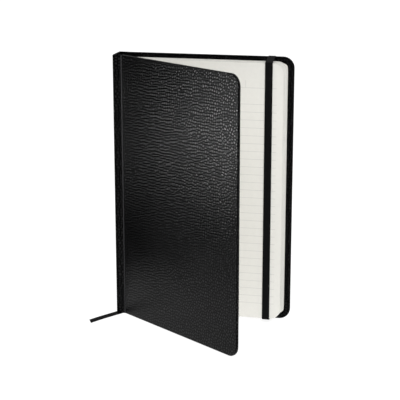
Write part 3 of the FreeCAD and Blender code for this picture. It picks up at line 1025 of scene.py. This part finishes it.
def elastic_band(line):
    """A flat elastic along a line in y and z: its width runs along X, its long edges are
    rounded, and it keeps its thickness square to the line."""
    run = np.gradient(line, axis=0)
    run /= np.linalg.norm(run, axis=1, keepdims=True)
    across = np.concatenate([[0, 0.03, 0.08], np.linspace(0.16, 0.84, 9), [0.92, 0.97, 1]])
    wide = STRAP_HIGH[0] - STRAP_LOW[0]
    middle = np.zeros((len(line), len(across), 3))
    middle[..., 0] = STRAP_LOW[0] + wide * across
    middle[..., 1] = line[:, :1]
    middle[..., 2] = line[:, 1:]
    normal = np.zeros_like(middle)
    normal[..., 1] = run[:, 1:]
    normal[..., 2] = -run[:, :1]
    edge = wide * np.minimum(across, 1 - across)
    half = ELASTIC_HALF * rounding(edge, 0.35, 0.25)
    return slab(middle, normal, np.tile(half[None, :, None], (len(line), 1, 1)))


strap_y = (STRAP_LOW[1] + STRAP_HIGH[1]) / 2
strap_line = np.stack(
    [np.full(60, strap_y), np.linspace(STRAP_LOW[2], STRAP_HIGH[2], 60)], axis=-1
)
piece(
    "elastic_front",
    [elastic_band(strap_line)],
    ELASTIC,
    body="strap",
    replaces=["elastic_strap"],
)


def leg_line(at_head):
    """The way of a leg from the strap, round the edge of the block and of the back cover,
    up its back and into the board, as a line with its corners cut."""
    low, high = millimetres("elastic_foot_leg")
    under = low[2] + ELASTIC_HALF
    behind = high[1] - ELASTIC_HALF
    corners = [
        (strap_y, STRAP_LOW[2] + 0.05),
        (strap_y + 0.05, STRAP_LOW[2] - 0.1),
        (-9.0, 1.72),
        (-1.6, under + 0.05),
        (-0.2, under),
        (behind - 0.25, under),
        (behind, under + 0.3),
        (behind, 4.0),
        (behind, 10.6),
        (behind - 0.1, 11.9),
        (0.6, 12.1),
    ]
    line = softened(corners)
    if at_head:
        line = np.stack([line[:, 0], COVER_TALL - line[:, 1]], axis=-1)
        line[:, 1] += 0.4 * smoothstep((line[:, 0] + 9) / 8) * (line[:, 1] > COVER_TALL - 3)
    return spaced(line, 90)


for end, at_head in (("foot", False), ("head", True)):
    leg = piece(
        f"elastic_{end}_turn",
        [elastic_band(leg_line(at_head))],
        ELASTIC,
        replaces=[f"elastic_{end}_leg"],
    )
    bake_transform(leg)


# ---------------------------------------------------------------- the pieces kept from the CAD

KEPT = {
    "back_board": BOARD,
    "front_board": BOARD,
    "back_pastedown": ENDPAPER,
    "front_pastedown": ENDPAPER,
    "back_flyleaf": ENDPAPER,
    "front_flyleaf": ENDPAPER,
    "spine_card": BOARD,
    "spine_liner": KRAFT,
    "mull": MULL,
    "sewing_thread": THREAD,
    "elastic_foot_tab": ELASTIC,
    "elastic_head_tab": ELASTIC,
}
for node, material in KEPT.items():
    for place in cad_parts[node].material_slots:
        place.material = material


# ---------------------------------------------------------------- floor, lights and world


def stage_floor():
    """A level table of pale acrylic lit from below, wide enough to fill the view."""
    reach = 15.0
    mesh = bpy.data.meshes.new("floor")
    points = np.array([(-1, -1, 0), (1, -1, 0), (1, 1, 0), (-1, 1, 0)]) * reach
    points[:, 2] = -0.0001
    mesh.from_pydata(points, [], [(0, 1, 2, 3)])
    floor = bpy.data.objects.new("floor", mesh)
    bpy.context.collection.objects.link(floor)
    material, _, shader, _ = finish_named("lit_acrylic_floor", Roughness=0.9)
    shader.inputs["Base Color"].default_value = linear("#9A9A9A")
    shader.inputs["Specular IOR Level"].default_value = 0.0
    shader.inputs["Emission Color"].default_value = linear("#FFFFFF")
    shader.inputs["Emission Strength"].default_value = 0.85
    floor.data.materials.append(material)


def softbox(name, place, aim, wide, tall, power):
    """A rectangular area light at a place, turned to face a point."""
    light = bpy.data.lights.new(name, "AREA")
    light.shape = "RECTANGLE"
    light.size = wide
    light.size_y = tall
    light.energy = power
    lamp = bpy.data.objects.new(name, light)
    lamp.location = place
    way = Vector(aim) - Vector(place)
    lamp.rotation_euler = way.to_track_quat("-Z", "Y").to_euler()
    bpy.context.collection.objects.link(lamp)


def studio_world(horizon, overhead):
    """A soft white sky that is bright overhead and falls off evenly towards the horizon."""
    world = bpy.data.worlds.new("studio")
    world.use_nodes = True
    tree = world.node_tree
    way = add(tree, "TexCoord", {}).outputs["Generated"]
    up = add(tree, "SeparateXYZ", {"Vector": way}).outputs["Z"]
    strength = add(
        tree,
        "MapRange",
        {"Value": up, 1: 0.25, 2: 0.8, 3: horizon, 4: overhead},
        interpolation_type="SMOOTHSTEP",
    )
    sky = tree.nodes["Background"]
    sky.inputs["Color"].default_value = linear("#FFFFFF")
    tree.links.new(strength.outputs["Result"], sky.inputs["Strength"])
    bpy.context.scene.world = world


def black_flag(name, near, far, sides):
    """A black card on the left, from one edge (x, z) to another, that is seen only in gloss."""
    mesh = bpy.data.meshes.new(name)
    points = [(x, y, z) for x, z in (near, far) for y in sides]
    mesh.from_pydata(points, [], [(0, 1, 3, 2)])
    flag = bpy.data.objects.new(name, mesh)
    bpy.context.collection.objects.link(flag)
    material, _, shader, _ = finish_named(name + "_card", Roughness=1.0)
    shader.inputs["Base Color"].default_value = linear("#000000")
    shader.inputs["Specular IOR Level"].default_value = 0.0
    flag.data.materials.append(material)
    flag.visible_camera = False
    flag.visible_diffuse = False
    flag.visible_shadow = False
    flag.visible_transmission = False


stage_floor()
# the two cards darken the lower and the upper gloss; the small box lights the part between
black_flag("low_flag", (-0.17, 0.0005), (-0.35, 0.03), (-0.5, 0.3))
black_flag("tall_flag", (-0.55, 0.0), (-0.55, 0.4), (-0.7, 0.5))
softbox("side_softbox", (-0.42, -0.21, 0.1), (0.02, -0.06, 0.1), 0.1, 0.09, 1.1)
softbox("front_softbox", (0.9, -1.4, 0.9), (0, 0, 0.1), 0.9, 0.9, 13)
studio_world(horizon=0.15, overhead=1.1)
bpy.context.scene.view_settings.view_transform = "Standard"
